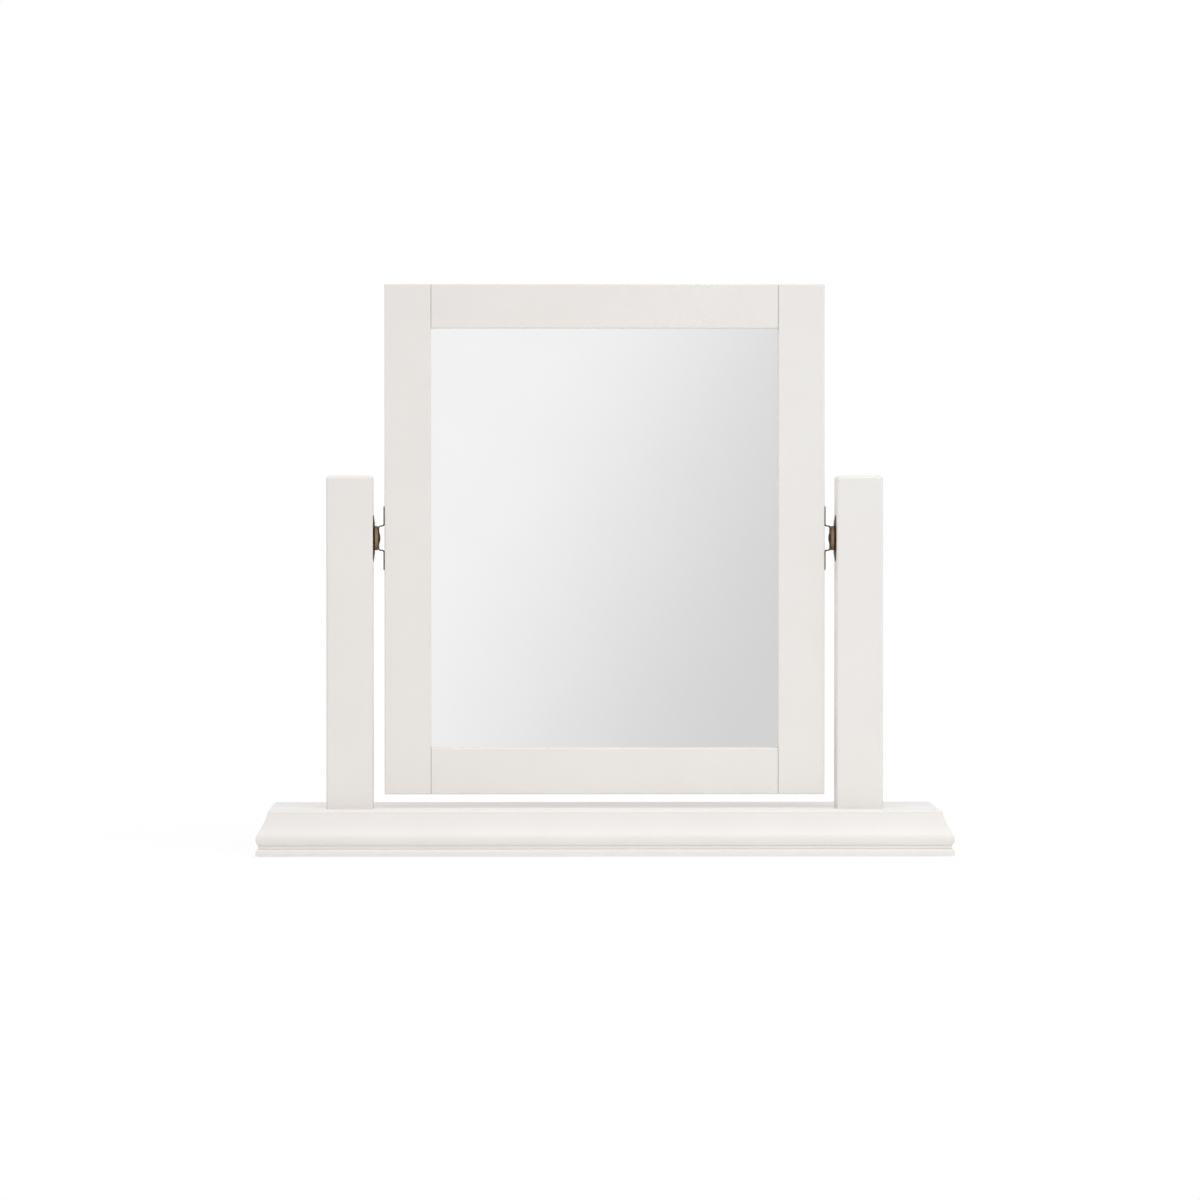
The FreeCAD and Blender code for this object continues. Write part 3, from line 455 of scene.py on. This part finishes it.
class DressPaintedWood(bpy.types.Operator):
    """Gives the base, posts and frame their satin lacquer, with the grain along each board"""
    bl_idname = "table_mirror.painted_wood"
    bl_label = "Painted wood"

    def execute(self, context):
        look = context.scene.mirror_paint
        across = satin_lacquer("satin_lacquer_across", 0, look)
        dress(across, "front_moulding", "back_rail", "top_board", "base_plate")
        rail_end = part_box("top_rail")[1][0]
        dress(satin_lacquer("satin_lacquer_rails", 0, look, rail_end), "top_rail", "bottom_rail")
        dress(satin_lacquer("satin_lacquer_deep", 1, look), "left_moulding", "right_moulding")
        upright = satin_lacquer("satin_lacquer_upright", 2, look)
        dress(upright, "left_post", "right_post", "left_stile", "right_stile")
        return {"FINISHED"}


class DressBareWood(bpy.types.Operator):
    """Gives the blocks, dowels and back panel their bare wood and board"""
    bl_idname = "table_mirror.bare_wood"
    bl_label = "Bare wood and board"

    def execute(self, context):
        look = context.scene.mirror_wood
        dress(plain_timber("planed_pine", 0, look.pine, look.pine_dark, PINE_RING), "corner_blocks")
        dress(plain_timber("turned_beech", 2, look.beech, look.beech_dark, BEECH_RING), "post_dowels")
        dress(plain_timber("turned_beech_across", 0, look.beech, look.beech_dark, BEECH_RING), "frame_dowels")
        dress(hardboard(look), "back_panel")
        return {"FINISHED"}


class DressHinges(bpy.types.Operator):
    """Gives the two pivot hinges and every screw their metals, and the friction discs their fibre"""
    bl_idname = "table_mirror.hinges"
    bl_label = "Hinges and screws"

    def execute(self, context):
        look = context.scene.mirror_metal
        dress(antique_bronze(look), "left_post_plate", "right_post_plate", "post_plate_screws",
              "left_frame_strap", "right_frame_strap", "strap_screws",
              "left_pivot_rivet", "right_pivot_rivet")
        dress(vulcanised_fibre(look), "left_friction_disc", "right_friction_disc")
        dress(clouded_steel("bright_zinc_plate", look.zinc, look.zinc_dull, 0.3),
              "base_plate_screws", "post_screws", "back_panel_screws")
        dress(clouded_steel("oiled_spring_steel", look.spring, look.spring, 0.4),
              "left_spring_washer", "right_spring_washer")
        return {"FINISHED"}


class DressGlass(bpy.types.Operator):
    """Gives the mirror pane its silvered glass"""
    bl_idname = "table_mirror.glass"
    bl_label = "Mirror glass"

    def execute(self, context):
        dress(silvered_glass(context.scene.mirror_glass), "mirror_glass")
        return {"FINISHED"}


def aimed(obj, eye, aim):
    """Places a camera or lamp at eye, looking at aim, with its top upwards."""
    obj.location = eye
    direction = aim - obj.location
    obj.rotation_euler = direction.to_track_quat("-Z", "Y").to_euler()
    bpy.context.scene.collection.objects.link(obj)
    return obj


def rectangle(name, corners):
    """A flat four-cornered stage piece."""
    mesh = bpy.data.meshes.new(name)
    mesh.from_pydata(corners, [], [(0, 1, 2, 3)])
    obj = bpy.data.objects.new(name, mesh)
    bpy.context.scene.collection.objects.link(obj)
    return obj


class SetStage(bpy.types.Operator):
    """Makes the camera, lights, white floor, world and the graded card that the mirror faces"""
    bl_idname = "table_mirror.stage"
    bl_label = "Stage"

    def execute(self, context):
        scene = context.scene
        look = scene.mirror_stage
        lens = bpy.data.cameras.new("camera")
        lens.lens = look.lens
        lens.sensor_width = SENSOR_WIDTH
        lens.clip_end = CAMERA_REACH
        scene.camera = aimed(bpy.data.objects.new("camera", lens), look.eye, Vector(look.aim))
        # The last column says whether a lamp is mirrored: the two low ones would leave a glare on the paint.
        for name, (place, width), power, colour, mirrored in (
                ("top_light", TOP_LIGHT, look.top_power, WHITE, True),
                ("side_light", SIDE_LIGHT, look.side_power, look.side_colour, False),
                ("rear_light", REAR_LIGHT, look.rear_power, WHITE, False)):
            lamp = bpy.data.lights.new(name, "AREA")
            lamp.shape = "DISK"
            lamp.size = width
            lamp.energy = power
            lamp.color = colour[:3]
            lit = aimed(bpy.data.objects.new(name, lamp), place, Vector(LAMP_AIM))
            lit.visible_glossy = mirrored
        self.floor(look)
        self.card(look)
        self.world(scene, look)
        scene.view_settings.view_transform = "Standard"
        return {"FINISHED"}

    def floor(self, look):
        """White floor: seen directly it is white with a faint shadow, and it bounces plain light.

        In reflections a wide ring of it is pale grey, so that the glass reads as a mirror from the sides too.
        """
        corners = [(-1, -1), (1, -1), (1, 1), (-1, 1)]
        floor = rectangle("floor", [(x * FLOOR_REACH, y * FLOOR_REACH, 0) for x, y in corners])
        material, tree = new_material("white_floor")
        rays = add(tree, "ShaderNodeLightPath").outputs
        seen = add(tree, "ShaderNodeMath", {"operation": "MAXIMUM"}, Value=rays["Is Camera Ray"],
                   Value_001=rays["Is Glossy Ray"]).outputs["Value"]
        seen = add(tree, "ShaderNodeMath", {"operation": "MAXIMUM"}, Value=seen,
                   Value_001=rays["Is Transmission Ray"]).outputs["Value"]
        place = add(tree, "ShaderNodeTexCoord").outputs["Object"]
        radius = add(tree, "ShaderNodeVectorMath", {"operation": "LENGTH"}, Vector=place).outputs["Value"]
        near, far = SHADOW_RING
        own = add(tree, "ShaderNodeMapRange", SMOOTH, Value=radius, FromMin=near, FromMax=far,
                  ToMin=1 - SHADOW_SHARE, ToMax=1).outputs["Result"]
        lit = add(tree, "ShaderNodeMapRange", SMOOTH, Value=radius, FromMin=near, FromMax=far,
                  ToMin=SHADOW_SHARE * FLOOR_LIFT, ToMax=0).outputs["Result"]
        begins, full, fades, ends = GREY_RING
        fall = add(tree, "ShaderNodeMapRange", SMOOTH, Value=radius, FromMin=begins, FromMax=full,
                   ToMin=1, ToMax=look.ring).outputs["Result"]
        rise = add(tree, "ShaderNodeMapRange", SMOOTH, Value=radius, FromMin=fades, FromMax=ends,
                   ToMin=look.ring, ToMax=1).outputs["Result"]
        ring = add(tree, "ShaderNodeMath", {"operation": "MAXIMUM"}, Value=fall,
                   Value_001=rise).outputs["Value"]
        tone = add(tree, "ShaderNodeMapRange", Value=rays["Is Glossy Ray"], ToMin=1,
                   ToMax=ring).outputs["Result"]
        own = add(tree, "ShaderNodeMath", {"operation": "MULTIPLY"}, Value=own,
                  Value_001=tone).outputs["Value"]
        lit = add(tree, "ShaderNodeMath", {"operation": "MULTIPLY"}, Value=lit,
                  Value_001=tone).outputs["Value"]
        glow = add(tree, "ShaderNodeEmission", Strength=own).outputs["Emission"]
        matt = add(tree, "ShaderNodeBsdfDiffuse", Color=lit).outputs["BSDF"]
        white = add(tree, "ShaderNodeAddShader", Shader=glow, Shader_001=matt).outputs["Shader"]
        bounce = add(tree, "ShaderNodeBsdfDiffuse", Color=look.floor).outputs["BSDF"]
        surface = add(tree, "ShaderNodeMixShader", Fac=seen, Shader=bounce, Shader_001=white)
        add(tree, "ShaderNodeOutputMaterial", Surface=surface.outputs["Shader"])
        floor.data.materials.append(material)

    def card(self, look):
        """Graded card before the mirror, seen only in reflections: light at upper left, grey at lower right.

        Its edges fade out, so that no edge of it stands in the glass.
        """
        side_fades, side = CARD_SIDE
        top_fades, top = CARD_TOP
        corners = [(-side, 0), (side, 0), (side, top), (-side, top)]
        card = rectangle("graded_card", [(x, CARD_PLACE, z) for x, z in corners])
        card.visible_camera = False
        card.visible_diffuse = False
        card.visible_shadow = False
        card.visible_transmission = False
        material, tree = new_material("graded_card")
        place = add(tree, "ShaderNodeTexCoord").outputs["Object"]
        part = add(tree, "ShaderNodeSeparateXYZ", Vector=place).outputs
        fall = add(tree, "ShaderNodeMath", {"operation": "MULTIPLY_ADD"}, Value=part["Z"],
                   Value_001=-CARD_SLOPE, Value_002=part["X"]).outputs["Value"]
        light_end, dark_end = CARD_GRADE
        grade = add(tree, "ShaderNodeMapRange", SMOOTH, Value=fall, FromMin=light_end,
                    FromMax=dark_end).outputs["Result"]
        tone = add(tree, "ShaderNodeMix", BLEND, Factor_Float=grade,
                   A_Color=look.card_light, B_Color=look.card_dark).outputs[MIXED]
        aside = add(tree, "ShaderNodeMath", {"operation": "ABSOLUTE"}, Value=part["X"]).outputs["Value"]
        cover = add(tree, "ShaderNodeMapRange", SMOOTH, Value=aside, FromMin=side_fades, FromMax=side,
                    ToMin=1, ToMax=0).outputs["Result"]
        cover = add(tree, "ShaderNodeMapRange", SMOOTH, Value=part["Z"], FromMin=top_fades, FromMax=top,
                    ToMin=cover, ToMax=0).outputs["Result"]
        cover = add(tree, "ShaderNodeMapRange", SMOOTH, Value=part["Z"], FromMin=0, FromMax=CARD_FOOT,
                    ToMin=0, ToMax=cover).outputs["Result"]
        glow = add(tree, "ShaderNodeEmission", Color=tone).outputs["Emission"]
        clear = add(tree, "ShaderNodeBsdfTransparent").outputs["BSDF"]
        surface = add(tree, "ShaderNodeMixShader", Fac=cover, Shader=clear, Shader_001=glow)
        add(tree, "ShaderNodeOutputMaterial", Surface=surface.outputs["Shader"])
        card.data.materials.append(material)

    def world(self, scene, look):
        """Soft light from all round, stronger from overhead and from the front.

        It is white where it is seen directly, and grades to grey overhead in reflections.
        """
        world = bpy.data.worlds.new("studio")
        world.use_nodes = True
        scene.world = world
        tree = world.node_tree
        tree.nodes.clear()
        rays = add(tree, "ShaderNodeLightPath").outputs
        ray = add(tree, "ShaderNodeTexCoord").outputs["Generated"]
        up = add(tree, "ShaderNodeSeparateXYZ", Vector=ray).outputs["Z"]
        facing = add(tree, "ShaderNodeVectorMath", {"operation": "DOT_PRODUCT"}, Vector=ray,
                     Vector_001=TENT_LEAN).outputs["Value"]
        back, front = TENT_SPAN
        weak, strong = TENT_STRENGTH
        strength = add(tree, "ShaderNodeMapRange", Value=facing, FromMin=back, FromMax=front,
                       ToMin=weak, ToMax=strong).outputs["Result"]
        low, high = SKY_FALL
        shade = add(tree, "ShaderNodeMapRange", SMOOTH, Value=up, FromMin=low, FromMax=high,
                    ToMin=1, ToMax=SKY_TONE).outputs["Result"]
        mirrored = add(tree, "ShaderNodeMath", {"operation": "MAXIMUM"}, Value=rays["Is Glossy Ray"],
                       Value_001=rays["Is Transmission Ray"]).outputs["Value"]
        tent = add(tree, "ShaderNodeMix", BLEND, Factor_Float=up,
                   A_Color=look.horizon, B_Color=look.zenith).outputs[MIXED]
        tent = add(tree, "ShaderNodeMix", MULTIPLY, Factor_Float=1.0,
                   A_Color=tent, B_Color=strength).outputs[MIXED]
        light = add(tree, "ShaderNodeMix", BLEND, Factor_Float=mirrored,
                    A_Color=tent, B_Color=shade).outputs[MIXED]
        light = add(tree, "ShaderNodeMix", BLEND, Factor_Float=rays["Is Camera Ray"],
                    A_Color=light, B_Color=WHITE).outputs[MIXED]
        sky = add(tree, "ShaderNodeBackground", Color=light).outputs["Background"]
        add(tree, "ShaderNodeOutputWorld", Surface=sky)


OPERATORS = (SetStage, MakeFeltPads, DressPaintedWood, DressBareWood, DressHinges, DressGlass)


class TableMirrorPanel(bpy.types.Panel):
    """Lists the table mirror's operators and their settings"""
    bl_idname = "VIEW3D_PT_table_mirror"
    bl_label = "Table mirror"
    bl_space_type = "VIEW_3D"
    bl_region_type = "UI"
    bl_category = "Table mirror"

    def draw(self, context):
        for operator in OPERATORS:
            self.layout.operator(operator.bl_idname)
        for name, group in SETTINGS.items():
            box = self.layout.box()
            box.label(text=group.__doc__)
            for setting in group.__annotations__:
                box.prop(getattr(context.scene, name), setting)


CLASSES = (*SETTINGS.values(), *OPERATORS, TableMirrorPanel)


def register():
    """Adds the classes, and the settings to every scene."""
    for each in CLASSES:
        bpy.utils.register_class(each)
    for name, group in SETTINGS.items():
        setattr(bpy.types.Scene, name, bpy.props.PointerProperty(type=group))


def unregister():
    """Takes away what register added."""
    for name in SETTINGS:
        delattr(bpy.types.Scene, name)
    for each in reversed(CLASSES):
        bpy.utils.unregister_class(each)


def main():
    register()
    for operator in OPERATORS:
        group, name = operator.bl_idname.split(".")
        getattr(getattr(bpy.ops, group), name)()


if __name__ == "__main__":
    main()
